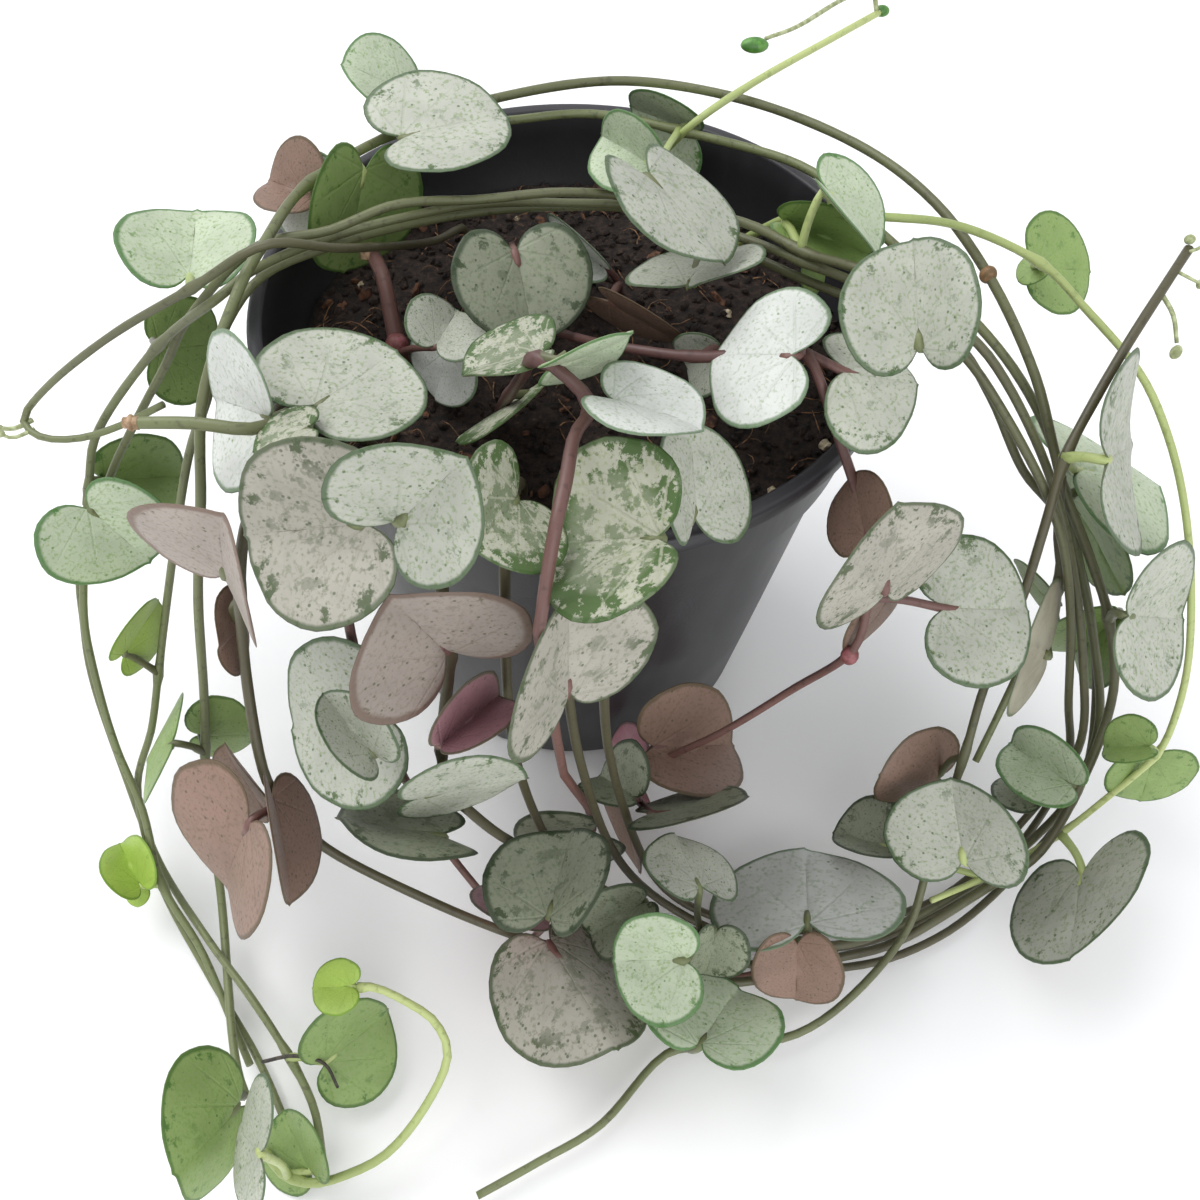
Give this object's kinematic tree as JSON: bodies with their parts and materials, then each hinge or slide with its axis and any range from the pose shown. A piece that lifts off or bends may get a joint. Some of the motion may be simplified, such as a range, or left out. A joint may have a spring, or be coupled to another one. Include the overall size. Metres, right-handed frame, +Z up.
{
  "type": "potted string of hearts",
  "caption": "Trailing houseplant with silver heart-shaped leaves on long looping strings, in a small tapered black nursery pot.",
  "frame": {"origin": "middle of the pot's flat underside", "axes": "+Z up along the pot's axis, -Y towards the side where the strings hang lowest and spread over the table, +X to that side's right"},
  "size_m": [0.2045, 0.1872, 0.1311],
  "materials": {
    "black_plastic": "thin black moulded polypropylene, satin",
    "peat": null,
    "silver_leaf": null,
    "green_leaf": null,
    "mauve_leaf": "leaf seen from its mauve underside, stated as leather",
    "pink_leaf": "leaf seen from its pink underside, stated as leather",
    "olive_stem": "ripened olive string, stated as wood",
    "red_brown_stem": "red-brown older string, stated as wood",
    "young_green_stem": "young light green string, stated as wood"
  },
  "bodies": {
    "root": {"pot": "black_plastic", "soil": "peat", "ring_string": "olive_stem", "rim_string": "olive_stem", "front_string": "red_brown_stem", "bundle_string_1": "olive_stem", "bundle_string_2": "olive_stem", "bundle_string_3": "olive_stem", "hoop_string": "olive_stem", "young_string_right": "young_green_stem", "tip_string": "olive_stem", "dark_string": "olive_stem", "red_string": "red_brown_stem", "centre_string": "red_brown_stem", "curl_string": "young_green_stem", "back_sprig": "young_green_stem", "cut_string": "olive_stem", "cut_stub": "red_brown_stem", "leaf_left_upper": "green_leaf", "leaves_back_left": "silver_leaf", "leaf_back_left_green": "green_leaf", "leaves_back_rim_left": "silver_leaf", "leaf_soil_back": "silver_leaf", "leaves_soil_middle": "mauve_leaf", "leaves_back_rim_right": "silver_leaf", "leaf_over_bundle": "silver_leaf", "leaf_under_bundle": "silver_leaf", "leaves_front_rim": "silver_leaf", "leaf_bud_right": "green_leaf", "leaves_right_rim": "green_leaf", "leaf_right_large": "silver_leaf", "leaves_left_green": "green_leaf", "leaves_left_curled": "silver_leaf", "leaves_front_left_pair": "silver_leaf", "leaf_front_variegated": "silver_leaf", "leaf_front_mauve_rim": "silver_leaf", "leaf_front_pink": "pink_leaf", "leaves_front_low": "silver_leaf", "leaf_front_edge_on": "silver_leaf", "leaf_front_shaded": "silver_leaf", "leaves_left_low": "green_leaf", "leaves_mauve_trio": "mauve_leaf", "leaves_lime_pair": "green_leaf", "leaf_fading": "green_leaf", "leaf_green_scalloped": "green_leaf", "leaf_green_large": "green_leaf", "leaves_right_pair": "silver_leaf", "leaf_right_bright": "green_leaf", "leaves_right_edge": "silver_leaf", "leaves_right_low": "green_leaf", "leaf_right_brown": "mauve_leaf", "leaves_table_right": "silver_leaf", "leaves_table_middle": "silver_leaf", "leaf_table_grey": "silver_leaf", "leaf_table_mint": "silver_leaf", "leaf_table_dark": "green_leaf", "leaf_table_olive": "green_leaf", "leaf_table_pink": "pink_leaf"}
  },
  "joints": []
}
